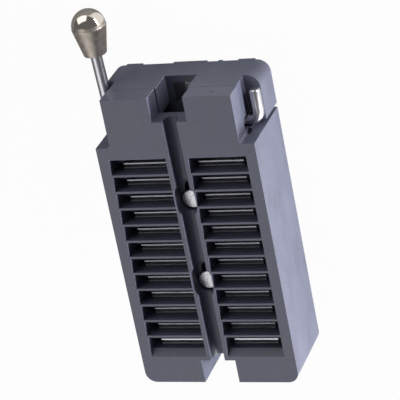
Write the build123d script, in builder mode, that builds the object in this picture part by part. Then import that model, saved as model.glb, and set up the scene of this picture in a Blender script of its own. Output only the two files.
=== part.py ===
from build123d import *
import os
from math import cos, radians, sin

# Zero insertion force test socket for dual in-line packages, lever down and contacts closed.
# Millimetres. X across the rows, +Y towards the lever head, +Z out of the board.
# The origin is the centre of the solder tail pattern, on the plane that the socket seats on.

os.makedirs("parts", exist_ok=True)

# Contact field
pitch = 2.54
contacts_per_row = 12
row_spacing = 15.24

# Running clearances
slide_gap = 0.05
side_gap = 0.10
shaft_gap = 0.05
press_gap = 0.01
pocket_gap = 0.05
recess_gap = 0.15

# Cover: a slotted slide over the base, with a narrower head plate over the lever shaft
cover_width = 22.86
cover_top = 11.91
skirt_bottom = 0.45
side_wall = 1.53
travel = 0.66
slot_length = 2.22
head_margin = 1.92
foot_margin = 5.11
head_length = 7.17
head_plate = 3.16
deck_plate = 4.40
foot_radius = 1.6
step_fillet = 0.45
channel_width = 2.04
channel_depth = 1.96
channel_wall = 0.60
notch_width = 5.08
notch_length = 3.57
lead_in = 0.92
head_bevel = 0.15
core_wall = 1.5
core_rise = 1.0

# Lever: one bent steel rod with a knob on its long arm
rod_diameter = 1.60
arm_inset = 0.63
arm_clear = 0.67
bend_radius = 1.60
shaft_overhang = 0.27
long_arm = 15.27
arm_lean = 1.65
lean_inset = 0.24
short_arm = 4.40
jog_outer = 6.40
jog_inner = 5.60
throw_angle = 45.0
knob_length = 6.55
knob_radius = 2.42
knob_foot_radius = 1.63
knob_foot_bevel = 0.15
knob_band = 0.17
knob_lip = 0.05
knob_lip_rise = 0.05
knob_grip = 4.7

# Base: the contact carrier inside the cover, and the head block that bears the shaft
standoff = 0.42
pad_size = 2.4
pad_inset = 0.4
pad_setback = 0.3
foot_pad_x = 3.4
foot_pad_length = 1.6
middle_pad_width = 4.9
middle_pad_length = 0.8
gate_x = 4.42
gate_width = 0.60
gate_length = 0.50
gate_rise = 0.10
pocket_floor = 3.0
pocket_back = 0.42
pocket_swing = 0.80
base_end_wall = 0.38
step_gap = 0.60
head_corner = 1.8
shelf_drop = 3.15
well_depth = 0.95
well_side = 0.22
well_gap = 0.15
notch_inset = 0.20
saddle_setback = 0.49
window_setback = 1.08
window_width = 2.6
window_length = 2.9

# Follower lugs of the cover, astride the cranked middle of the shaft, and its shaft keepers
lug_wall = 0.72
lug_drop = 0.45
lug_setback = 0.36
lug_inset = 0.30
groove_gap = 0.06
groove_headroom = 0.09
keeper_setback = 0.75
keeper_inset = 0.20

# Rivets: two, in slotted counterbores of the channel
rivet_spacing = 5 * pitch
rivet_offset = 2.09
rivet_head_radius = 1.35
rivet_head = 0.55
rivet_crown = 0.12
rivet_crown_radius = 0.85
rivet_shank_radius = 0.75
rivet_tail_radius = 1.25
rivet_tail = 0.5
rivet_rise = 0.15
rivet_play = 1.85
rivet_lag = 0.08
pocket_radius = 1.50
pocket_depth = 2.82
shank_slot_radius = 0.82

# Contacts: twin leaves folded from one strip, on a post through the base over a round solder tail
strip = 0.20
leaf_gap = 0.10
fold_half = 0.35
fold_rise = 0.30
leaf_setback = 0.63
leaf_margin = 1.20
lip_depth = 2.00
lip_length = 0.81
lip_flare = 0.15
ear = 0.40
ear_length = 0.90
leg_width = 2.4
leg_taper = 4.2
post_width = 0.64
post_depth = 0.56
tail_radius = 0.254
tail_length = 3.30
push_gap = 0.20
pad_rise = 0.25
pad_side_gap = 0.10

# Heights
deck_z = cover_top - deck_plate
plate_z = cover_top - head_plate
base_deck = deck_z - slide_gap
block_top = plate_z - slide_gap
shelf_z = plate_z - shelf_drop
well_floor = shelf_z - well_depth
rod_radius = rod_diameter / 2
shaft_z = shelf_z + shaft_gap + rod_radius
pocket_floor_z = cover_top - pocket_depth
rivet_seat = pocket_floor_z + slide_gap
rivet_bottom = standoff + rivet_rise
lip_z = cover_top - lip_depth
pinch_z = lip_z - lip_length
pad_top = pinch_z + pad_rise

# Widths
cover_half = cover_width / 2
slot_outer = cover_half - side_wall
slot_inner = channel_width / 2 + channel_wall
slot_width = slot_outer - slot_inner
base_half = slot_outer - side_gap
leaf_inner = slot_inner + leaf_setback
leaf_outer = slot_outer - leaf_margin
arm_x = cover_half - arm_inset
head_half = arm_x - rod_radius - arm_clear
cheek_half = arm_x - bend_radius
well_half = jog_outer + well_side
notch_half = notch_width / 2
lug_inner = notch_half + lug_setback
lug_outer = jog_inner - lug_inset
keeper_inner = well_half + keeper_setback
keeper_outer = cheek_half - keeper_inset

# Places along the rows: with the cover closed, each slot stands one travel headward of its contact
rows_half = pitch * (contacts_per_row - 1) / 2
rivet_places = [rivet_offset + rivet_spacing / 2, rivet_offset - rivet_spacing / 2]
first_slot_y = travel + rows_half + slot_length / 2
last_slot_y = travel - rows_half - slot_length / 2
step_y = first_slot_y + head_margin
head_y = step_y + head_length
foot_y = last_slot_y - foot_margin
notch_y = foot_y + notch_length
block_y = step_y + step_gap
block_end = head_y
base_foot = -rows_half - pocket_swing - base_end_wall
cavity_foot = base_foot - recess_gap
saddle_y = first_slot_y + saddle_setback
recess_y = saddle_y - recess_gap
shaft_y = block_y - shaft_overhang + rod_radius

# Long arm: it leans outwards a little, and carries the knob in line
lean = radians(arm_lean)
lean_x = lean_inset - arm_x
knob_place = long_arm - knob_grip + press_gap
knob_foot = (lean_x - knob_place * sin(lean), shaft_y + knob_place * cos(lean), shaft_z)
arm_axis = (-sin(lean), cos(lean), 0)

# Crank: its throw gives the cover's travel over a quarter turn of the lever
throw = travel / (2 * cos(radians(throw_angle)))
crank_y = shaft_y + throw * cos(radians(throw_angle))
crank_z = shaft_z + throw * sin(radians(throw_angle))
groove_half = rod_radius + groove_gap
groove_top = shaft_z + throw + rod_radius + groove_headroom
lug_half = groove_half + lug_wall
lug_bottom = shaft_z - lug_drop
saddle_half = rod_radius + shaft_gap
keeper_width = 2 * saddle_half - travel - 2 * slide_gap


def box(low, high, mode=Mode.ADD):
    """Adds or cuts a box between two corners in the part that is being built."""
    size = [h - l for l, h in zip(low, high)]
    centre = [(h + l) / 2 for l, h in zip(low, high)]
    with Locations(tuple(centre)):
        Box(*size, mode=mode)


def contact_y(i):
    """Place along the row of contact i, counted from the lever end."""
    return rows_half - i * pitch


def slot_y(i):
    """Place of the slot over contact i, with the cover in its closed place."""
    return contact_y(i) + travel


# The cover
with BuildPart() as cover:
    box((-cover_half, foot_y, skirt_bottom), (cover_half, step_y, cover_top))
    foot_corners = cover.edges().filter_by(Axis.Z).group_by(Axis.Y)[0]
    fillet(foot_corners, radius=foot_radius)

    # Head plate, with a small fillet where its sides meet the step
    with BuildSketch(Plane.XY.offset(plate_z)):
        with Locations((0, step_y + head_length / 2)):
            Rectangle(2 * head_half, head_length)
        with Locations((0, step_y - step_fillet)):
            Rectangle(cover_width, 2 * step_fillet)
        step_corners = vertices().group_by(Axis.Y)[1].sort_by(Axis.X)[1:-1]
        fillet(step_corners, radius=step_fillet)
    extrude(amount=head_plate)

    # Cavity for the carrier, and the deeper recess over the head block
    box((-slot_outer, cavity_foot, skirt_bottom), (slot_outer, step_y, deck_z), Mode.SUBTRACT)
    box((-slot_outer, recess_y, deck_z), (slot_outer, step_y, plate_z), Mode.SUBTRACT)

    # Insertion slots, one over each contact
    slot_x = (slot_outer + slot_inner) / 2
    with BuildSketch(Plane.XY.offset(deck_z)):
        with Locations([(s * slot_x, slot_y(i)) for s in (-1, 1) for i in range(contacts_per_row)]):
            Rectangle(slot_width, slot_length)
    extrude(amount=deck_plate, mode=Mode.SUBTRACT)

    # Lead-in ramp at the foot end and the small bevel at the head end of the slot field
    for side in (-1, 1):
        low = slot_inner if side > 0 else -slot_outer
        with BuildSketch(Plane.YZ.offset(low)):
            with BuildLine():
                Polyline(
                    (last_slot_y, cover_top),
                    (last_slot_y - lead_in, cover_top),
                    (last_slot_y, cover_top - lead_in),
                    close=True,
                )
            make_face()
            with BuildLine():
                Polyline(
                    (first_slot_y, cover_top),
                    (first_slot_y + head_bevel, cover_top),
                    (first_slot_y, cover_top - head_bevel),
                    close=True,
                )
            make_face()
        extrude(amount=slot_width, mode=Mode.SUBTRACT)

    # Push pads at both ends of each slot, which drive the ears of the moving leaf
    pad_foot = push_gap - leaf_gap / 2
    pad_length = travel + slot_length / 2 - pad_foot
    pad_shift = pad_foot + pad_length / 2
    pads = ((slot_inner, leaf_inner - pad_side_gap), (leaf_outer + pad_side_gap, slot_outer))
    for near, far in pads:
        with BuildSketch(Plane.XY.offset(deck_z)):
            with Locations([(s * (near + far) / 2, contact_y(i) + pad_shift)
                            for s in (-1, 1) for i in range(contacts_per_row)]):
                Rectangle(far - near, pad_length)
        extrude(amount=pad_top - deck_z)

    # Round-bottomed channel between the rows
    channel_half = channel_width / 2
    with BuildSketch(Plane.XZ.offset(-head_y)):
        with BuildLine():
            floor_z = cover_top - channel_depth
            spring_z = floor_z + channel_half
            Polyline(
                (-channel_half, spring_z), (-channel_half, cover_top), (channel_half, cover_top),
                (channel_half, spring_z),
            )
            ThreePointArc((channel_half, spring_z), (0, floor_z), (-channel_half, spring_z))
        make_face()
    extrude(amount=head_y - notch_y + notch_length, mode=Mode.SUBTRACT)

    # End notches: through the head plate, and through the whole foot
    box((-notch_half, head_y - notch_length, plate_z), (notch_half, head_y, cover_top), Mode.SUBTRACT)
    box((-notch_half, foot_y, skirt_bottom), (notch_half, notch_y, cover_top), Mode.SUBTRACT)

    # Core pockets under the foot, one each side of the notch
    for side in (-1, 1):
        x0, x1 = sorted((side * (notch_half + core_wall), side * slot_outer))
        box(
            (x0, foot_y + core_wall, skirt_bottom),
            (x1, cavity_foot - core_wall / 2, deck_z + core_rise),
            Mode.SUBTRACT,
        )

    # Slotted counterbores and shank slots for the rivets
    rivet_slots = [(0, place + rivet_play / 2 - rivet_lag) for place in rivet_places]
    with BuildSketch(Plane.XY.offset(pocket_floor_z)):
        with Locations(rivet_slots):
            SlotCenterToCenter(rivet_play, 2 * pocket_radius, rotation=90)
    extrude(amount=pocket_depth, mode=Mode.SUBTRACT)
    with BuildSketch(Plane.XY.offset(deck_z)):
        with Locations(rivet_slots):
            SlotCenterToCenter(rivet_play, 2 * shank_slot_radius, rotation=90)
    extrude(amount=deck_plate, mode=Mode.SUBTRACT)

    # Follower lugs astride the crank, and keepers that hold the shaft in its saddles
    keeper_y = shaft_y + saddle_half - slide_gap
    for side in (-1, 1):
        x0, x1 = sorted((side * lug_inner, side * lug_outer))
        box((x0, crank_y - lug_half, lug_bottom), (x1, crank_y + lug_half, plate_z))
        box((x0, crank_y - groove_half, lug_bottom), (x1, crank_y + groove_half, groove_top), Mode.SUBTRACT)
        x0, x1 = sorted((side * keeper_inner, side * keeper_outer))
        box((x0, keeper_y - keeper_width, shaft_z + rod_radius + slide_gap), (x1, keeper_y, plate_z))

cover.part.label = "cover"
export_step(cover.part, "parts/cover.step")


# The base
with BuildPart() as base:
    # Contact carrier, head block with its side shelves, and the raised block between them
    box((-base_half, base_foot, standoff), (base_half, block_y, base_deck))
    with BuildSketch(Plane.XY.offset(standoff)):
        with Locations((0, (block_y + block_end) / 2)):
            Rectangle(cover_width, block_end - block_y)
    extrude(amount=shelf_z - standoff)
    fillet(base.edges().filter_by(Axis.Z).group_by(Axis.Y)[-1], radius=head_corner)
    box((-cheek_half, saddle_y, shelf_z), (cheek_half, block_end, block_top))

    # Well for the crank and the lugs, open to the end face a little inside the cover's notch
    well_back = crank_y + lug_half + well_gap
    well_front = crank_y - lug_half - travel - well_gap
    box((-well_half, well_front, well_floor), (well_half, well_back, block_top), Mode.SUBTRACT)
    mouth = notch_half - notch_inset
    box((-mouth, well_front, well_floor), (mouth, block_end, block_top), Mode.SUBTRACT)
    window_y = block_end - window_length - window_setback
    window_half = window_width / 2
    window_end = window_y + window_length
    box((-window_half, window_y, standoff), (window_half, window_end, well_floor), Mode.SUBTRACT)

    # Saddles: round-bottomed grooves for the shaft, open at the top
    with BuildSketch(Plane.YZ.offset(-cover_half)):
        with Locations((shaft_y, shaft_z)):
            Circle(saddle_half)
        with Locations((shaft_y, (shaft_z + block_top) / 2)):
            Rectangle(2 * saddle_half, block_top - shaft_z)
    extrude(amount=cover_width, mode=Mode.SUBTRACT)

    # Contact pockets, with a hole for each contact's post
    pocket_in = leaf_inner - ear - pocket_gap
    pocket_out = leaf_outer + ear + pocket_gap
    pocket_y = (pocket_back - pocket_swing) / 2
    places = [(s * (pocket_in + pocket_out) / 2, contact_y(i) + pocket_y)
              for s in (-1, 1) for i in range(contacts_per_row)]
    with BuildSketch(Plane.XY.offset(pocket_floor)):
        with Locations(places):
            Rectangle(pocket_out - pocket_in, pocket_back + pocket_swing)
    extrude(amount=base_deck - pocket_floor, mode=Mode.SUBTRACT)
    with BuildSketch(Plane.XY.offset(standoff)):
        with GridLocations(row_spacing, pitch, 2, contacts_per_row):
            Rectangle(post_width + 2 * pocket_gap, post_depth + 2 * pocket_gap)
    extrude(amount=pocket_floor - standoff, mode=Mode.SUBTRACT)

    # Rivet holes, counterbored below for the clenched ends
    with BuildSketch(Plane.XY.offset(standoff)):
        with Locations([(0, place) for place in rivet_places]):
            Circle(rivet_shank_radius + press_gap)
    extrude(amount=base_deck - standoff, mode=Mode.SUBTRACT)
    with BuildSketch(Plane.XY.offset(standoff)):
        with Locations([(0, place) for place in rivet_places]):
            Circle(rivet_tail_radius + slide_gap)
    extrude(amount=rivet_bottom - standoff + rivet_tail, mode=Mode.SUBTRACT)

    # Standoff pads: three along the head end, two at the foot
    foot_pad_y = base_foot + pad_setback
    for side in (-1, 1):
        x0, x1 = sorted((side * (base_half - pad_inset - pad_size), side * (base_half - pad_inset)))
        box((x0, block_end - pad_size, 0), (x1, block_end, standoff))
        x0, x1 = sorted((side * foot_pad_x, side * (foot_pad_x + pad_size)))
        box((x0, foot_pad_y, 0), (x1, foot_pad_y + foot_pad_length, standoff))
    half = middle_pad_width / 2
    box((-half, block_end - middle_pad_length, 0), (half, block_end, standoff))

    # Trimmed gate nib beside the middle pad
    box(
        (gate_x - gate_width / 2, block_end - gate_length, gate_rise),
        (gate_x + gate_width / 2, block_end, standoff),
    )

base.part.label = "base"
export_step(base.part, "parts/base.step")


# The lever: long arm, transverse shaft with its cranked middle, and the short arm
with BuildPart() as lever_rod:
    with BuildLine() as rod_path:
        FilletPolyline(
            (arm_x, shaft_y + short_arm, shaft_z),
            (arm_x, shaft_y, shaft_z),
            (jog_outer, shaft_y, shaft_z),
            radius=bend_radius,
        )
        Polyline(
            (jog_outer, shaft_y, shaft_z),
            (jog_inner, crank_y, crank_z),
            (-jog_inner, crank_y, crank_z),
            (-jog_outer, shaft_y, shaft_z),
        )
        FilletPolyline(
            (-jog_outer, shaft_y, shaft_z),
            (lean_x, shaft_y, shaft_z),
            (lean_x - long_arm * sin(lean), shaft_y + long_arm * cos(lean), shaft_z),
            radius=bend_radius,
        )
    with BuildSketch(Plane((arm_x, shaft_y + short_arm, shaft_z), z_dir=(0, -1, 0))):
        Circle(rod_radius)
    sweep(path=rod_path.wires()[0], transition=Transition.RIGHT)

lever_rod.part.label = "lever_rod"
export_step(lever_rod.part, "parts/lever_rod.step")


# The knob: a cone that swells to a domed end, bored for the rod
with BuildPart() as knob:
    with BuildSketch(Plane(knob_foot, x_dir=(cos(lean), sin(lean), 0), z_dir=(0, 0, 1))):
        with BuildLine():
            dome_radius = knob_radius - knob_lip
            dome_foot = knob_length - dome_radius
            band_end = dome_foot - knob_lip_rise
            Polyline(
                (0, 0), (knob_foot_radius - knob_foot_bevel, 0), (knob_foot_radius, knob_foot_bevel),
                (knob_radius, band_end - knob_band), (knob_radius, band_end), (dome_radius, dome_foot),
            )
            CenterArc((0, dome_foot), dome_radius, 0, 90)
            Line((0, knob_length), (0, 0))
        make_face()
    revolve(axis=Axis(knob_foot, arm_axis))
    with BuildSketch(Plane(knob_foot, z_dir=arm_axis)):
        Circle(rod_radius + press_gap)
    extrude(amount=knob_grip, mode=Mode.SUBTRACT)

knob.part.label = "knob"
export_step(knob.part, "parts/knob.step")


# The rivets: crowned heads in the channel, clenched under the base
with BuildPart() as rivet:
    with BuildSketch(Plane.XZ):
        with BuildLine():
            head_top = rivet_seat + rivet_head
            Polyline(
                (0, rivet_bottom), (rivet_tail_radius, rivet_bottom),
                (rivet_tail_radius, rivet_bottom + rivet_tail),
                (rivet_shank_radius, rivet_bottom + rivet_tail),
                (rivet_shank_radius, rivet_seat), (rivet_head_radius, rivet_seat),
                (rivet_head_radius, head_top - rivet_crown), (rivet_crown_radius, head_top),
                (0, head_top), close=True,
            )
        make_face()
    revolve(axis=Axis.Z)

with BuildPart() as rivets:
    with Locations([(0, place, 0) for place in rivet_places]):
        add(rivet.part)

rivets.part.label = "rivets"
export_step(rivets.part, "parts/rivets.step")


# The contacts: one is built at the middle of the right row, and the rest are its copies
tail_x = row_spacing / 2
pinch = leaf_gap / 2
fold_z = pocket_floor + fold_rise
floor_half = fold_half - fold_rise / 2
with BuildPart() as contact:
    # Two leaves folded from one strip, which pinch and then flare at the lips
    with BuildSketch(Plane.YZ.offset(leaf_inner)):
        with BuildLine():
            Polyline(
                (fold_half, fold_z), (pinch + strip, pinch_z), (pinch + strip + lip_flare, lip_z),
                (pinch + lip_flare, lip_z), (pinch, pinch_z), (fold_half - strip, fold_z),
                (0, pocket_floor + strip), (strip - fold_half, fold_z),
                (-pinch, pinch_z), (-pinch - lip_flare, lip_z), (-pinch - strip - lip_flare, lip_z),
                (-pinch - strip, pinch_z), (-fold_half, fold_z),
                (-floor_half, pocket_floor), (floor_half, pocket_floor), close=True,
            )
        make_face()
    extrude(amount=leaf_outer - leaf_inner)
    # The leaves narrow from the mouth to the leg over the tail
    with BuildSketch(Plane.XZ.offset(-1)):
        with BuildLine():
            Polyline(
                (leaf_inner, pocket_floor), (tail_x - leg_width / 2, pocket_floor),
                (leaf_inner, pocket_floor + leg_taper), close=True,
            )
        make_face()
    extrude(amount=2, mode=Mode.SUBTRACT)
    # Ears of the moving leaf, just below its lip
    for x0, x1 in ((leaf_inner - ear, leaf_inner), (leaf_outer, leaf_outer + ear)):
        box((x0, -pinch - strip, pinch_z - ear_length), (x1, -pinch, pinch_z))
    # Post through the base, and the round solder tail under it
    box(
        (tail_x - post_width / 2, -post_depth / 2, standoff),
        (tail_x + post_width / 2, post_depth / 2, pocket_floor + strip / 2),
    )
    with BuildSketch(Plane.XY.offset(-tail_length)):
        with Locations((tail_x, 0)):
            Circle(tail_radius)
    extrude(amount=standoff + tail_length)

for side, row in ((-1, "left"), (1, "right")):
    row_contact = contact.part if side > 0 else contact.part.mirror(Plane.YZ)
    for i in range(contacts_per_row):
        placed = row_contact.moved(Location((0, contact_y(i), 0)))
        placed.label = f"contact_{row}_{i + 1:02d}"
        export_step(placed, f"parts/{placed.label}.step")
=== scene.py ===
import math

import bmesh
import bpy
import numpy as np
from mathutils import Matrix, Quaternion, Vector


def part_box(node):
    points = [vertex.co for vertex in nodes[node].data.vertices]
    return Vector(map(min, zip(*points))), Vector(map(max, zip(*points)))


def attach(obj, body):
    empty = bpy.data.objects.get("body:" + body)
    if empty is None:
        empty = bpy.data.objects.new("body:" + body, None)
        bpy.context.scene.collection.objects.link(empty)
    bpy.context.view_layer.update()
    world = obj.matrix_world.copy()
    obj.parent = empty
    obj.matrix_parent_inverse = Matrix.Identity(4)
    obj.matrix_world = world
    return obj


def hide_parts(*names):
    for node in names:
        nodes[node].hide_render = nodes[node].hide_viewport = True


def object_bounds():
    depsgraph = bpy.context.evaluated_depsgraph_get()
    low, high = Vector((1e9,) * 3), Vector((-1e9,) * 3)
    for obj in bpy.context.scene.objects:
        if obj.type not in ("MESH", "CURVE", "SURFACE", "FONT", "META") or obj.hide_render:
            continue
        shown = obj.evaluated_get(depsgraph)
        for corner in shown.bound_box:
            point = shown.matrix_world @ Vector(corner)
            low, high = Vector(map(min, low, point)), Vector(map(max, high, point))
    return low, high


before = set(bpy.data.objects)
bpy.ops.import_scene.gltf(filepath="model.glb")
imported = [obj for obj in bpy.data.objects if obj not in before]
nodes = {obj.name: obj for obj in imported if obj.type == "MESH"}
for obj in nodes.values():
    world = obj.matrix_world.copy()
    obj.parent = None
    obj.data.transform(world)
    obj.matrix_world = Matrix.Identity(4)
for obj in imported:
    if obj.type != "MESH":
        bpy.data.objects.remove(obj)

# A zero insertion force test socket: slate grey moulded cover and base, a bent steel lever with a plated
# knob, two bright rivets and 24 twin-leaf contacts. The scene is in metres, in the CAD's own frame, with +Y
# towards the lever's head and +Z up. The sizes named below are in mm.

cad_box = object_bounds()
scene = bpy.context.scene
MM = 0.001

# Camera: place, aim, roll and lens fitted to the photograph
CAMERA_PLACE = Vector((113.47, 146.90, 279.95)) * MM
CAMERA_AIM = Vector((2.17, 9.452, 11.91)) * MM
CAMERA_ROLL = math.radians(-147.367)
SENSOR_WIDTH, LENS = 36.0, 213.12
NEAREST, FARTHEST = 10, 10000

# Tones as sRGB hex: dark, middle and light of a moulding, dark and light of a metal
COVER_TONES = ("4e5164", "575a6e", "616477")
BASE_TONES = ("4c4f62", "55586c", "5f6275")
# Painted highlight: the flash fins take this much paler copy of the moulding's tones, for a bright line
# along the notch's edges
FLASH_HIGHLIGHT_TONES = ("8f919c", "9d9fab", "abadb8")
ROD_TONES = ("b9b9be", "d0d0d5")
KNOB_TONES = ("b3a79c", "cfc6be")
DOME_TONE = "ddd3ca"
RIVET_TONES = ("c8c8cc", "ececf0")
CONTACT_TONES = ("d2d4d8", "e0e2e6")
# The board's own tone, and a darker grey painted under the socket as painted shade
BOARD_TONE, PAINTED_SHADE_BOARD_TONE = "c4c4c4", "6a6a6c"

# Most of a noise lies in this span, and a wave texture draws this many bands where its scale is 1
NOISE_SPAN = {"From Min": 0.3, "From Max": 0.7}
BANDS_PER_SCALE = 20

# Mouldings: how far the mould rounds their edges, and the least turn that counts as an edge
MOULD_RADIUS, MOULD_STEPS = 0.05, 2
EDGE_ANGLE = math.radians(30)
FLAT_ANGLE = math.radians(1)
WELD = 0.001

# Lever rod: short arm, shaft with its cranked middle, and the long arm, which leans outwards
ROD_PLACE = "place_on_rod"
ROD_RADIUS = 0.80
SHAFT_Y, SHAFT_Z = 18.79, 6.45
CRANK_Y, CRANK_Z = 19.12, 6.78
JOG_OUTER, JOG_INNER = 6.40, 5.60
SHORT_ARM_X, SHORT_ARM = 10.80, 4.40
LONG_ARM_X, LONG_ARM = -10.56, 15.27
LEAN = math.radians(1.65)
ARM_BEND, JOG_BEND = 1.25, 1.20
# The cut end of the short arm: how far in, and the share of the rod's radius there
CUT_END = ((0.0, 0.70), (0.05, 0.80), (0.22, 0.97), (0.30, 1.0))

# Knob: a satin cone with a rounded foot, a narrow band at its widest, and the dome, which is polished a
# little above its own foot
KNOB_PLACE, KNOB_LENGTH = 10.58, 6.55
KNOB_BORE, KNOB_FOOT_RADIUS, FOOT_ROUND = 0.78, 1.63, 0.16
DOME_RADIUS, POLISHED_FROM, POLISH_FADE = 2.37, 0.45, 0.05
# The band: how far below the dome's foot, and the radius there
BAND = ((0.22, 2.41), (0.19, 2.42), (0.06, 2.42), (0.0, 2.38))
# The dome's first ring stands this many radians above its foot, and its last as many short of the pole
DOME_POLE = 0.02

# Rivets: radius and height of the clenched end, the shank and the head's seat, then the head itself
RIVET_PLACES, RIVET_PHASES = (8.44, -4.26), (0.4, 2.1)
RIVET_STEM = ((0.95, 0.57), (1.18, 0.63), (1.25, 0.77), (1.25, 1.07), (0.75, 1.07), (0.75, 9.14),
              (1.32, 9.14), (1.35, 9.19))
RIVET_SEAT, RIVET_TOP, HEAD_RADIUS = 9.14, 9.69, 1.35
RIM_ROUND, CROWN_RISE, CROWN_HUB = 0.16, 0.07, 0.06
# Pebbles: radians per mm of each wave across x and y, the share of the third wave, how high the pebbles
# stand, how far the skin sinks for them, how deep below the top it starts and over what it fades in
PEBBLE_WAVES = ((9.1, 4.3), (-3.9, 11.7), (15.3, -8.8))
THIRD_WAVE = 0.6
PEBBLE_RISE, PEBBLE_SINK, PEBBLE_DEPTH, PEBBLE_FADE = 0.012, 0.008, 0.25, 0.1
# The small burr on the rim, towards the lever
BURR_ANGLE, BURR_WIDTH, BURR_REACH, BURR_FROM = math.radians(86), 0.22, 0.09, 0.7

# Marks of the mould on the end face, as (radius, height) of turned forms that start a little inside the
# plastic: an ejector ring low on the base, and a pin boss on the cover
END_FACE_Y = 24.83
RING_PLACE = (6.66, END_FACE_Y, 2.85)
RING_PROFILE = ((0.62, -0.02), (0.61, 0.02), (0.57, 0.045), (0.51, 0.045), (0.47, 0.02), (0.46, -0.02))
BOSS_PLACE = (6.36, END_FACE_Y, 10.07)
BOSS_PROFILE = ((0.36, -0.02), (0.35, 0.04), (0.31, 0.07), (0.16, 0.08))
# Fins of flash up the left edges of the head's notch, in a pale tone that is a painted highlight along those
# edges: x, and the heights of both ends
COVER_FIN, BASE_FIN = (-2.54, 8.80, 11.86), (-2.34, 4.70, 8.64)
FIN_RADIUS, FIN_STEP, FIN_TAPER = 0.07, 0.08, 0.15

# Stage: a wide floor, and how white the floor and the world look to the camera
FLOOR_RADIUS = 3000
SEEN_WHITE = 0.97
# What gloss shows of the world, of the dim board and of the board's bright patches, which are a painted pool
# of light that only gloss and glass see
SKY_IN_GLOSS, BOARD_DIM, PAINTED_POOL_BRIGHT = 0.10, 0.03, 1.0
# Light of the world on the object
WORLD_FILL = 0.05
# Round a core, this far inside the cover's outline, out to where the shade ends, the board keeps its real
# shadow and is also painted darker as painted shade
CORE_INSET, SHADE_FROM, SHADE_TO = 7, 1.8, 4.8
# Where the bright patches of the painted pool of light start and are full: right of the socket in x, past
# the head in y, and right of a line that slants by PATCH_SLANT
RIGHT_PATCH, HEAD_PATCH, SLANT_PATCH = (8, 20), (31, 34), (-20, -17.5)
PATCH_SLANT = 0.3

# Lamps: name, place, size and watts. The first two light the top faces, and the second also shows in the
# contacts' lips. The third rakes the right wall, the fourth the head's shelf, and the last is a large soft
# sheet past the head, for the end face and the knob's dome.
LAMPS = (
    ("lamp_foot", (0, -250, 250), (240, 240), 0.11),
    ("lamp_high", (-150, -110, 290), (240, 240), 0.26),
    ("lamp_right", (270, -226, 45), (240, 70), 2.80),
    ("lamp_right_head", (310, 160, 12), (240, 24), 0.70),
    ("lamp_head", (-150, 305, 95), (360, 300), 0.48),
)
LAMP_AIM = Vector((0, 2, 8)) * MM


# Materials

def colour(hex_code):
    """Linear RGBA of an sRGB hex colour such as "575a6e"."""
    srgb = np.array([int(hex_code[i:i + 2], 16) / 255 for i in (0, 2, 4)])
    linear = np.where(srgb <= 0.04045, srgb / 12.92, ((srgb + 0.055) / 1.055) ** 2.4)
    return (*linear.tolist(), 1.0)


def add(tree, kind, inputs=None, stops=(), **settings):
    """Adds a node of that kind with its settings. Each input, by name or number, gets a value, or a link
    from a socket or from a node's first output. A colour ramp also gets its stops: (place, hex colour)."""
    node = tree.nodes.new(kind)
    for name, value in settings.items():
        setattr(node, name, value)
    for name, value in (inputs or {}).items():
        if isinstance(value, bpy.types.Node):
            value = value.outputs[0]
        if isinstance(value, bpy.types.NodeSocket):
            tree.links.new(value, node.inputs[name])
        else:
            node.inputs[name].default_value = value
    for _ in stops[2:]:
        node.color_ramp.elements.new(0.5)
    for i, (position, hex_code) in enumerate(stops):
        element = node.color_ramp.elements[i]
        element.position = position
        element.color = colour(hex_code)
    return node


def new_material(name):
    """An empty material: returns it, its node tree and the socket of Object coordinates."""
    made = bpy.data.materials.new(name)
    made.use_nodes = True
    made.node_tree.nodes.clear()
    return made, made.node_tree, add(made.node_tree, "ShaderNodeTexCoord").outputs["Object"]


def finished(made, inputs):
    """The material, with a Principled shader of those inputs at its output."""
    shader = add(made.node_tree, "ShaderNodeBsdfPrincipled", inputs)
    add(made.node_tree, "ShaderNodeOutputMaterial", {"Surface": shader})
    return made


def grain(tree, place, size, detail, stretch=(1, 1, 1)):
    """Noise whose features are about size mm across, drawn out by stretch."""
    scale = [1 / (MM * size * s) for s in stretch]
    moved = add(tree, "ShaderNodeMapping", {"Vector": place, "Scale": scale})
    return add(tree, "ShaderNodeTexNoise", {"Vector": moved, "Scale": 1.0, "Detail": detail})


def moulded_plastic(name, tones):
    """Glass-filled polyphenylene sulphide, injection-moulded: an even matte skin with a very fine grain,
    faint cloudy flow of the melt, and a weak sheen at low angles. The real grain is finer than 0.16 mm,
    which is as fine as shows."""
    dark, middle, light = tones
    made, tree, place = new_material(name)
    flow = grain(tree, place, 3.2, 3.0, stretch=(1, 1.8, 1))
    fine = grain(tree, place, 0.16, 3.0)
    mixed = add(tree, "ShaderNodeMath", {0: flow, 1: fine}, operation="ADD")
    halved = add(tree, "ShaderNodeMath", {0: mixed, 1: 0.5}, operation="MULTIPLY")
    tone = add(tree, "ShaderNodeValToRGB", {"Fac": halved},
               stops=((0.36, dark), (0.5, middle), (0.66, light)))
    matte = add(tree, "ShaderNodeMapRange", {**NOISE_SPAN, "Value": flow, "To Min": 0.46, "To Max": 0.56})
    skin = add(tree, "ShaderNodeBump", {"Height": fine, "Distance": 0.010 * MM})
    return finished(made, {"Base Color": tone, "Roughness": matte, "Normal": skin, "IOR": 1.6,
                           "Specular IOR Level": 0.7})


def drawn_steel():
    """Stainless steel rod, cold drawn: bright but satin, with faint draw lines 0.22 mm apart. The lines
    follow the rod's own place attribute, whose third number runs along the bends."""
    dark, light = ROD_TONES
    made, tree, _ = new_material("drawn_stainless_rod")
    along = add(tree, "ShaderNodeAttribute", attribute_name=ROD_PLACE).outputs["Vector"]
    lines = grain(tree, along, 0.22, 1.0, stretch=(1, 1, 40))
    tone = add(tree, "ShaderNodeValToRGB", {"Fac": lines}, stops=((0.3, dark), (0.7, light)))
    satin = add(tree, "ShaderNodeMapRange", {**NOISE_SPAN, "Value": lines, "To Min": 0.30, "To Max": 0.36})
    return finished(made, {"Base Color": tone, "Roughness": satin, "Metallic": 1.0})


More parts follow.
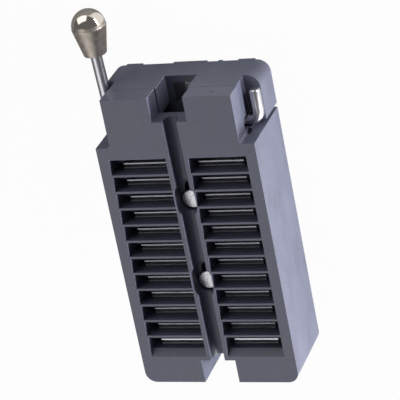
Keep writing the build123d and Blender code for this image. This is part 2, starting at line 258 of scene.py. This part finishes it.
def turned_nickel(polished_y):
    """Nickel-plated brass, turned on a lathe: a warm satin cone with fine tool rings 0.12 mm apart, and a
    dome that is polished past polished_y."""
    dark, light = KNOB_TONES
    made, tree, place = new_material("turned_nickel_plate")
    along = add(tree, "ShaderNodeSeparateXYZ", {"Vector": place}).outputs["Y"]
    dome = add(tree, "ShaderNodeMapRange", {"Value": along, "From Min": polished_y - POLISH_FADE * MM,
                                            "From Max": polished_y + POLISH_FADE * MM})
    cloud = grain(tree, place, 0.7, 3.0)
    plate = add(tree, "ShaderNodeValToRGB", {"Fac": cloud}, stops=((0.3, dark), (0.7, light)))
    tone = add(tree, "ShaderNodeMix", {0: dome, 6: plate, 7: colour(DOME_TONE)}, data_type="RGBA")
    satin = add(tree, "ShaderNodeMapRange", {**NOISE_SPAN, "Value": cloud, "To Min": 0.38, "To Max": 0.50})
    gloss = add(tree, "ShaderNodeMix", {"Factor": dome, "A": satin, "B": 0.10})
    ring_scale = 1 / (0.12 * MM) / BANDS_PER_SCALE
    rings = add(tree, "ShaderNodeTexWave", {"Vector": place, "Scale": ring_scale, "Distortion": 0.4},
                wave_type="BANDS", bands_direction="Y")
    cuts = add(tree, "ShaderNodeBump", {"Height": rings.outputs["Fac"], "Distance": 0.0015 * MM})
    return finished(made, {"Base Color": tone.outputs[2], "Roughness": gloss, "Normal": cuts,
                           "Metallic": 1.0})


def tumbled_rivet():
    """Nickel-plated steel rivet, headed and barrel tumbled: bright, with pebbles 0.22 mm across."""
    dark, light = RIVET_TONES
    made, tree, place = new_material("tumbled_nickel_rivet")
    pebble = grain(tree, place, 0.22, 3.0)
    tone = add(tree, "ShaderNodeValToRGB", {"Fac": pebble}, stops=((0.3, dark), (0.6, light)))
    satin = add(tree, "ShaderNodeMapRange", {**NOISE_SPAN, "Value": pebble, "To Min": 0.50, "To Max": 0.36})
    dents = add(tree, "ShaderNodeBump", {"Height": pebble, "Distance": 0.020 * MM})
    return finished(made, {"Base Color": tone, "Roughness": satin, "Normal": dents, "Metallic": 1.0})


def nickel_strip():
    """Nickel-plated beryllium copper strip, stamped and folded: grey-white, with faint rolling lines 0.14 mm
    apart."""
    dark, light = CONTACT_TONES
    made, tree, place = new_material("nickel_contact_strip")
    rolled = grain(tree, place, 0.14, 1.0, stretch=(14, 1, 1))
    tone = add(tree, "ShaderNodeValToRGB", {"Fac": rolled}, stops=((0.3, dark), (0.7, light)))
    satin = add(tree, "ShaderNodeMapRange", {**NOISE_SPAN, "Value": rolled, "To Min": 0.32, "To Max": 0.38})
    return finished(made, {"Base Color": tone, "Roughness": satin, "Metallic": 1.0})


# Shapes

def dress(node, material):
    """Gives a piece its one material."""
    node.data.materials.clear()
    node.data.materials.append(material)


def placed(name, mesh, body, slot, material, *replaced):
    """A new piece at the origin that rides on a body and stands for the replaced nodes."""
    piece = bpy.data.objects.new(name, mesh)
    scene.collection.objects.link(piece)
    dress(piece, material)
    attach(piece, body)
    if replaced:
        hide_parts(*replaced)
    return piece


def softened(node_name, piece_name, body, slot, material):
    """A copy of a moulded node whose edges are rounded, as its mould leaves them. The copy's points are
    merged and its flat faces joined, so that the rounding runs along the real edges alone."""
    mesh = nodes[node_name].data.copy()
    work = bmesh.new()
    work.from_mesh(mesh)
    bmesh.ops.remove_doubles(work, verts=work.verts, dist=WELD * MM)
    bmesh.ops.dissolve_limit(work, angle_limit=FLAT_ANGLE, verts=work.verts, edges=work.edges)
    work.to_mesh(mesh)
    work.free()
    piece = placed(piece_name, mesh, body, slot, material, node_name)
    rounding = piece.modifiers.new("mould_radius", "BEVEL")
    rounding.width = MOULD_RADIUS * MM
    rounding.segments = MOULD_STEPS
    rounding.limit_method = "ANGLE"
    rounding.angle_limit = EDGE_ANGLE


def unit(vectors):
    """Vectors scaled to length 1, along the last axis."""
    return vectors / np.linalg.norm(vectors, axis=-1, keepdims=True)


def bent_line(corners, radii, steps=14):
    """Centre line of a bent rod: straight runs between the corners, and at each inner corner an arc of its
    radius that touches both runs. Point t of an arc is its centre plus
    (sin((1 - t) turn) start + sin(t turn) end) / sin(turn), from the start spoke to the end spoke."""
    corners = np.array(corners, float)
    runs = [corners[:1]]
    t = np.linspace(0, 1, steps)[:, None]
    for before, corner, after, radius in zip(corners, corners[1:], corners[2:], radii):
        back, on = unit(before - corner), unit(after - corner)
        half = math.acos(back @ on) / 2
        turn = math.pi - 2 * half
        centre = corner + unit(back + on) * radius / math.sin(half)
        start = corner + back * radius / math.tan(half) - centre
        end = corner + on * radius / math.tan(half) - centre
        runs.append(centre + (np.sin((1 - t) * turn) * start + np.sin(t * turn) * end) / math.sin(turn))
    runs.append(corners[-1:])
    return np.vstack(runs)


def swept(line, radii, spokes=48):
    """Rings of a round rod along a line: the point at angle a on ring i is line_i + radius_i (up_i cos a +
    side_i sin a), where side is the run's direction times +Z, and up is side times the direction. Also
    gives each point's place on the rod unbent: across, across and along."""
    steps = unit(np.diff(line, axis=0))
    along = unit(np.vstack([steps[:1], steps[:-1] + steps[1:], steps[-1:]]))
    side = unit(np.cross(along, (0, 0, 1)))
    up = np.cross(side, along)
    a = np.linspace(0, 2 * np.pi, spokes, endpoint=False)[None, :, None]
    reach = np.array(radii)[:, None, None]
    rings = line[:, None] + reach * (up[:, None] * np.cos(a) + side[:, None] * np.sin(a))
    far = np.concatenate([[0], np.cumsum(np.linalg.norm(np.diff(line, axis=0), axis=1))])
    unbent = np.stack(np.broadcast_arrays(reach * np.cos(a), reach * np.sin(a), far[:, None, None]), axis=-1)
    return rings, unbent[:, :, 0]


def turned(profile, foot, axis, spokes):
    """Rings of a turned piece: point (r, h) of the profile at angle a lies at
    foot + h axis + r (side cos a + rise sin a), with side, rise and the axis square to each other."""
    r, h = (np.array(column)[:, None, None] for column in zip(*profile))
    foot, axis = np.array(foot, float), unit(np.array(axis, float))
    hint = (0, 0, 1) if abs(axis[2]) < 0.5 else (0, 1, 0)
    side = unit(np.cross(hint, axis))
    rise = np.cross(axis, side)
    a = np.linspace(0, 2 * np.pi, spokes, endpoint=False)[None, :, None]
    return foot + h * axis + r * (side * np.cos(a) + rise * np.sin(a))


def skinned(name, piles, sharp_degrees=32):
    """One mesh over piles of rings: quads between each ring and the next, and a fan over each end ring,
    whose hub is the mean of its points. Edges sharper than sharp_degrees stay crisp."""
    points, faces, start = [], [], 0
    for rings in piles:
        count, spokes = rings.shape[:2]
        points += [rings.reshape(-1, 3), rings[[0, -1]].mean(axis=1)]
        i, j = np.meshgrid(np.arange(count - 1), np.arange(spokes), indexing="ij")
        k = (j + 1) % spokes
        near, far = i * spokes, (i + 1) * spokes
        quads = np.stack([near + j, near + k, far + k, far + j], axis=-1)
        j, k = np.arange(spokes), (np.arange(spokes) + 1) % spokes
        hub, last = count * spokes, (count - 1) * spokes
        low = np.stack([np.full(spokes, hub), k, j], axis=-1)
        high = np.stack([np.full(spokes, hub + 1), last + j, last + k], axis=-1)
        for part in (quads.reshape(-1, 4), low, high):
            faces += (part + start).tolist()
        start += hub + 2
    mesh = bpy.data.meshes.new(name)
    mesh.from_pydata((np.vstack(points) * MM).tolist(), [], faces)
    mesh.polygons.foreach_set("use_smooth", np.ones(len(mesh.polygons), bool))
    mesh.set_sharp_from_angle(angle=math.radians(sharp_degrees))
    return mesh


def lever_rod(long_corner, arm_way):
    """The bent rod: a swept circle from the cut end of the short arm, through the cranked shaft, to the end
    of the long arm, with each point's place on the unbent rod as an attribute for the draw lines."""
    line = bent_line(
        [(SHORT_ARM_X, SHAFT_Y + SHORT_ARM, SHAFT_Z), (SHORT_ARM_X, SHAFT_Y, SHAFT_Z),
         (JOG_OUTER, SHAFT_Y, SHAFT_Z), (JOG_INNER, CRANK_Y, CRANK_Z),
         (-JOG_INNER, CRANK_Y, CRANK_Z), (-JOG_OUTER, SHAFT_Y, SHAFT_Z),
         long_corner, long_corner + LONG_ARM * arm_way],
        [ARM_BEND, JOG_BEND, JOG_BEND, JOG_BEND, JOG_BEND, ARM_BEND])
    cut = np.array([line[0] - (0, depth, 0) for depth, _ in CUT_END])
    radii = [ROD_RADIUS * share for _, share in CUT_END] + [ROD_RADIUS] * (len(line) - 1)
    rings, unbent = swept(np.vstack([cut, line[1:]]), radii)
    mesh = skinned("lever_rod_bent", [rings])
    places = np.vstack([unbent.reshape(-1, 3), unbent[[0, -1]].mean(axis=1)]) * MM
    mesh.attributes.new(ROD_PLACE, "FLOAT_VECTOR", "POINT").data.foreach_set("vector", places.ravel())
    placed("lever_rod_bent", mesh, "lever", "rod_steel", drawn_steel(), "lever_rod")


def knob(long_corner, arm_way):
    """The knob, turned about the long arm: bore, foot of radius r - round (1 - sin t) at round (1 - cos t),
    straight cone, band, and dome of radius R cos t at R sin t above its foot."""
    t = np.linspace(0, math.pi / 2, 6)
    foot_round = zip(KNOB_FOOT_RADIUS - FOOT_ROUND * (1 - np.sin(t)), FOOT_ROUND * (1 - np.cos(t)))
    dome_foot = KNOB_LENGTH - DOME_RADIUS
    band = [(radius, dome_foot - below) for below, radius in BAND]
    t = np.linspace(DOME_POLE, math.pi / 2 - DOME_POLE, 30)
    dome = zip(DOME_RADIUS * np.cos(t), dome_foot + DOME_RADIUS * np.sin(t))
    foot = long_corner + KNOB_PLACE * arm_way
    polished_y = (foot + (dome_foot + POLISHED_FROM) * arm_way)[1] * MM
    rings = turned([(KNOB_BORE, 0.0), *foot_round, *band, *dome], foot, arm_way, 96)
    placed("knob_turned", skinned("knob_turned", [rings]), "lever", "knob_plate", turned_nickel(polished_y),
           "knob")


def pebbled(rings, place, phase):
    """Lifts the head's points by up to 0.02 mm: crossed sines of x and y, whose waves are 0.3 to 0.7 mm long
    and whose phases differ from rivet to rivet. The burr then swells the head's rim outwards by a bell curve
    of the angle about BURR_ANGLE."""
    x, y, z = np.moveaxis(rings, -1, 0)
    y = y - place
    first, second, third = (np.sin(a * x + b * y + k * phase) for k, (a, b) in enumerate(PEBBLE_WAVES, 1))
    waves = first * second + THIRD_WAVE * third
    on_top = np.clip((z - RIVET_TOP + PEBBLE_DEPTH) / PEBBLE_FADE, 0, 1)
    off_burr = np.angle(np.exp(1j * (np.arctan2(y, x) - BURR_ANGLE)))
    rim = np.clip((np.hypot(x, y) / HEAD_RADIUS - BURR_FROM) / (1 - BURR_FROM), 0, 1)
    bell = np.exp(-(off_burr / BURR_WIDTH) ** 2)
    swell = 1 + BURR_REACH / HEAD_RADIUS * bell * rim * (z > RIVET_SEAT)
    lift = (PEBBLE_RISE * waves - PEBBLE_SINK) * on_top
    return np.stack([x * swell, y * swell + place, z + lift], axis=-1)


def rivets():
    """Both rivets, turned: the stem, a quarter circle for the head's rim, and a crown that falls by the
    square of the way out from its hub."""
    t = np.linspace(0, math.pi / 2, 8)
    rim_z = RIVET_TOP - CROWN_RISE - RIM_ROUND
    rim = zip(HEAD_RADIUS - RIM_ROUND * (1 - np.cos(t)), rim_z + RIM_ROUND * np.sin(t))
    c = np.linspace(0, 1, 8)[1:]
    crown = zip((HEAD_RADIUS - RIM_ROUND) * (1 - c) + CROWN_HUB * c, RIVET_TOP - CROWN_RISE * (1 - c) ** 2)
    profile = [*RIVET_STEM, *rim, *crown]
    piles = [pebbled(turned(profile, (0, place, 0), (0, 0, 1), 72), place, phase)
             for place, phase in zip(RIVET_PLACES, RIVET_PHASES)]
    placed("rivets_headed", skinned("rivets_headed", piles, 50), "base", "rivet_metal", tumbled_rivet(),
           "rivets")


def fin(x, low_z, high_z):
    """Rings of a thin fin of flash up an edge: at height h its radius is FIN_RADIUS times
    0.65 + 0.35 sin(5.3 h) cos(2.1 h), and it tapers to a tenth of that at both ends."""
    h = np.arange(0, high_z - low_z, FIN_STEP)
    ends = np.clip(np.minimum(h, h[-1] - h) / FIN_TAPER, 0.1, 1)
    r = FIN_RADIUS * (0.65 + 0.35 * np.sin(5.3 * h) * np.cos(2.1 * h)) * ends
    return turned(list(zip(r, h)), (x, END_FACE_Y, low_z), (0, 0, 1), 10)


# Stage

def seen_rays(tree, to_camera, to_mirrors):
    """How white a backdrop looks: to_camera for the camera's own rays, to_mirrors for what gloss and glass
    show of it, and nothing as light on the object."""
    ray = add(tree, "ShaderNodeLightPath").outputs
    direct = add(tree, "ShaderNodeMath", {0: ray["Is Camera Ray"], 1: to_camera}, operation="MULTIPLY")
    either = add(tree, "ShaderNodeMath", {0: ray["Is Glossy Ray"], 1: ray["Is Transmission Ray"]},
                 operation="ADD")
    return add(tree, "ShaderNodeMath", {0: either, 1: to_mirrors, 2: direct}, operation="MULTIPLY_ADD")


def beyond_footprint(tree, place):
    """0 under the middle of the socket, rising softly to 1 near the edge of its footprint: the distance of a
    floor point from the core rectangle, mapped from SHADE_FROM to SHADE_TO."""
    low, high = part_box("cover")
    middle = (high + low) / 2
    core = (high - low) / 2 - Vector((CORE_INSET, CORE_INSET, 0)) * MM
    moved = add(tree, "ShaderNodeVectorMath", {0: place, 1: (middle.x, middle.y, low.z)},
                operation="SUBTRACT")
    level = add(tree, "ShaderNodeVectorMath", {0: moved, 1: (1, 1, 0)}, operation="MULTIPLY")
    far = add(tree, "ShaderNodeVectorMath", {0: level}, operation="ABSOLUTE")
    past = add(tree, "ShaderNodeVectorMath", {0: far, 1: (core.x, core.y, 0)}, operation="SUBTRACT")
    past = add(tree, "ShaderNodeVectorMath", {0: past, 1: (0, 0, 0)}, operation="MAXIMUM")
    reach = add(tree, "ShaderNodeVectorMath", {0: past}, operation="LENGTH").outputs["Value"]
    return add(tree, "ShaderNodeMapRange", {"Value": reach, "From Min": SHADE_FROM * MM,
                                            "From Max": SHADE_TO * MM}, interpolation_type="SMOOTHSTEP")


def painted_pool_of_light(tree, place):
    """A painted pool of light on the board, which only gloss and glass see: dim all round, and painted
    bright where the low lamps strike it.
    One patch lies right of the socket. The other lies past the head, and right of the line where
    x - PATCH_SLANT y passes through SLANT_PATCH. The brighter patch counts."""
    axes = add(tree, "ShaderNodeSeparateXYZ", {"Vector": place})
    x, y = axes.outputs["X"], axes.outputs["Y"]
    slant = add(tree, "ShaderNodeMath", {0: y, 1: -PATCH_SLANT, 2: x}, operation="MULTIPLY_ADD")
    right, past, beside = (
        add(tree, "ShaderNodeMapRange", {"Value": value, "From Min": start * MM, "From Max": full * MM})
        for value, (start, full) in ((x, RIGHT_PATCH), (y, HEAD_PATCH), (slant, SLANT_PATCH)))
    ahead = add(tree, "ShaderNodeMath", {0: past, 1: beside}, operation="MULTIPLY")
    patch = add(tree, "ShaderNodeMath", {0: right, 1: ahead}, operation="MAXIMUM")
    return add(tree, "ShaderNodeMath", {0: patch, 1: PAINTED_POOL_BRIGHT - BOARD_DIM, 2: BOARD_DIM},
               operation="MULTIPLY_ADD")


def pale_board():
    """Matt pale board. What the camera sees of it is lifted to white, and metal shows it dim, with bright
    patches that are a painted pool of light.
    Under the socket it isn't lifted, so it keeps the shadow there, and its colour is also painted darker
    there as painted shade.
    From below it is clear, so that the underside of the socket can be seen."""
    made, tree, place = new_material("pale_board")
    beyond = beyond_footprint(tree, place)
    # Painted light: gloss and glass see the board glow in bright patches
    seen = seen_rays(tree, SEEN_WHITE, painted_pool_of_light(tree, place))
    lift = add(tree, "ShaderNodeMath", {0: seen, 1: beyond}, operation="MULTIPLY")
    # Painted shade: the board's colour runs from a darker grey under the socket to its own tone beyond
    tone = add(tree, "ShaderNodeValToRGB", {"Fac": beyond},
               stops=((0.0, PAINTED_SHADE_BOARD_TONE), (1.0, BOARD_TONE)))
    board = add(tree, "ShaderNodeBsdfDiffuse", {"Color": tone})
    white = add(tree, "ShaderNodeEmission", {"Color": (1, 1, 1, 1), "Strength": 1.0})
    above = add(tree, "ShaderNodeMixShader", {0: lift, 1: board, 2: white})
    clear = add(tree, "ShaderNodeBsdfTransparent")
    below = add(tree, "ShaderNodeNewGeometry").outputs["Backfacing"]
    sided = add(tree, "ShaderNodeMixShader", {0: below, 1: above, 2: clear})
    add(tree, "ShaderNodeOutputMaterial", {"Surface": sided})
    return made


def floor_disc(rings=12, spokes=64):
    """Flat disc on the ground: point (r, a) is at (r cos a, r sin a), with r from the centre outwards."""
    low, high = cad_box
    centre = [(low.x + high.x) / 2, (low.y + high.y) / 2, low.z]
    r = np.linspace(0, FLOOR_RADIUS * MM, rings + 1)[1:, None]
    a = np.linspace(0, 2 * np.pi, spokes, endpoint=False)[None, :]
    points = np.stack([r * np.cos(a), r * np.sin(a), np.zeros((rings, spokes))], axis=-1).reshape(-1, 3)
    i, j = np.meshgrid(np.arange(rings - 1), np.arange(spokes), indexing="ij")
    k = (j + 1) % spokes
    near, far = 1 + i * spokes, 1 + (i + 1) * spokes
    quads = np.stack([near + j, far + j, far + k, near + k], axis=-1)
    j = np.arange(spokes)
    hub = np.stack([np.zeros(spokes, int), j + 1, (j + 1) % spokes + 1], axis=-1)
    mesh = bpy.data.meshes.new("floor")
    mesh.from_pydata([centre, *(points + centre).tolist()], [], quads.reshape(-1, 4).tolist() + hub.tolist())
    return mesh


def studio_world():
    """Above the floor's edge: white to the camera, dim to gloss, and a little fill on the object."""
    world = bpy.data.worlds.new("studio")
    world.use_nodes = True
    tree = world.node_tree
    tree.nodes.clear()
    seen = seen_rays(tree, SEEN_WHITE, SKY_IN_GLOSS)
    level = add(tree, "ShaderNodeMath", {0: seen, 1: WORLD_FILL}, operation="ADD")
    sky = add(tree, "ShaderNodeBackground", {"Color": (1, 1, 1, 1), "Strength": level})
    add(tree, "ShaderNodeOutputWorld", {"Surface": sky})
    return world


def softbox(name, place, size, watts):
    """A flat soft lamp at a place, turned to the socket."""
    lamp = bpy.data.lights.new(name, "AREA")
    lamp.shape = "RECTANGLE"
    lamp.size, lamp.size_y = size[0] * MM, size[1] * MM
    lamp.energy = watts
    held = bpy.data.objects.new(name, lamp)
    scene.collection.objects.link(held)
    held.location = Vector(place) * MM
    held.rotation_mode = "QUATERNION"
    held.rotation_quaternion = (LAMP_AIM - held.location).to_track_quat("-Z", "Y")


# The socket
cover_skin = moulded_plastic("moulded_cover_plastic", COVER_TONES)
base_skin = moulded_plastic("moulded_base_plastic", BASE_TONES)
# Painted highlight: the flash fins get a paler copy of the plastic, so the notch's left edges show a bright
# line
flash_highlight_skin = moulded_plastic("moulded_flash_painted_highlight", FLASH_HIGHLIGHT_TONES)
contact_skin = nickel_strip()

softened("cover", "cover_moulding", "cover", "cover_plastic", cover_skin)
softened("base", "base_moulding", "base", "base_plastic", base_skin)

arm_way = np.array((-math.sin(LEAN), math.cos(LEAN), 0))
long_corner = np.array((LONG_ARM_X, SHAFT_Y, SHAFT_Z))
lever_rod(long_corner, arm_way)
knob(long_corner, arm_way)
rivets()

for name, rings, body, slot, material in (
        ("ejector_ring", turned(RING_PROFILE, RING_PLACE, (0, 1, 0), 40), "base", "base_plastic", base_skin),
        ("pin_boss", turned(BOSS_PROFILE, BOSS_PLACE, (0, 1, 0), 40), "cover", "cover_plastic", cover_skin),
        ("notch_flash_cover", fin(*COVER_FIN), "cover", "cover_plastic", flash_highlight_skin),
        ("notch_flash_base", fin(*BASE_FIN), "base", "base_plastic", flash_highlight_skin)):
    placed(name, skinned(name, [rings]), body, slot, material)

for name, node in nodes.items():
    if name.startswith("contact"):
        dress(node, contact_skin)

# Floor, world, lamps and camera
floor = bpy.data.objects.new("floor", floor_disc())
scene.collection.objects.link(floor)
dress(floor, pale_board())
scene.world = studio_world()
for lamp in LAMPS:
    softbox(*lamp)

camera = bpy.data.objects.new("camera", bpy.data.cameras.new("camera"))
scene.collection.objects.link(camera)
scene.camera = camera
camera.data.sensor_width = SENSOR_WIDTH
camera.data.lens = LENS
camera.data.clip_start = NEAREST * MM
camera.data.clip_end = FARTHEST * MM
camera.location = CAMERA_PLACE
camera.rotation_mode = "QUATERNION"
facing = (CAMERA_AIM - CAMERA_PLACE).to_track_quat("-Z", "Y")
camera.rotation_quaternion = facing @ Quaternion((0, 0, 1), CAMERA_ROLL)

scene.view_settings.view_transform = "Standard"
